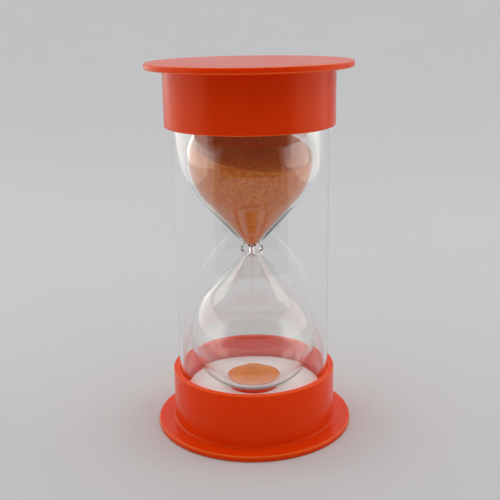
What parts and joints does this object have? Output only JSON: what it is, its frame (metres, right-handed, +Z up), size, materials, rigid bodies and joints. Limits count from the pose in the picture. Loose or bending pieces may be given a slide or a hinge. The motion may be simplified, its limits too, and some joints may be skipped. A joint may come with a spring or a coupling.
{
  "type": "hourglass",
  "caption": "Hourglass: an orange-red cap at each end, a clear tube between them, and a blown glass vial of terracotta sand inside.",
  "frame": {"origin": "centre of the base's flat lower face", "axes": "+Z up along the timer's axis"},
  "size_m": [0.087, 0.087, 0.16],
  "materials": {
    "cap_plastic": "satin-gloss moulded orange-red plastic",
    "tube_acrylic": "clear extruded acrylic",
    "vial_glass": "clear blown glass",
    "stopper_rubber": "matt off-white rubber",
    "pad_foam": "fine-celled white foam",
    "sand": "fine dyed sand"
  },
  "bodies": {
    "root": {"bottom_cap": "cap_plastic", "top_cap": "cap_plastic", "clear_tube": "tube_acrylic", "glass_vial": "vial_glass", "filler_stopper": "stopper_rubber", "bottom_foam_pad": "pad_foam", "top_foam_pad": "pad_foam", "upper_sand": "sand", "falling_sand": "sand", "sand_heap": "sand"}
  },
  "joints": []
}
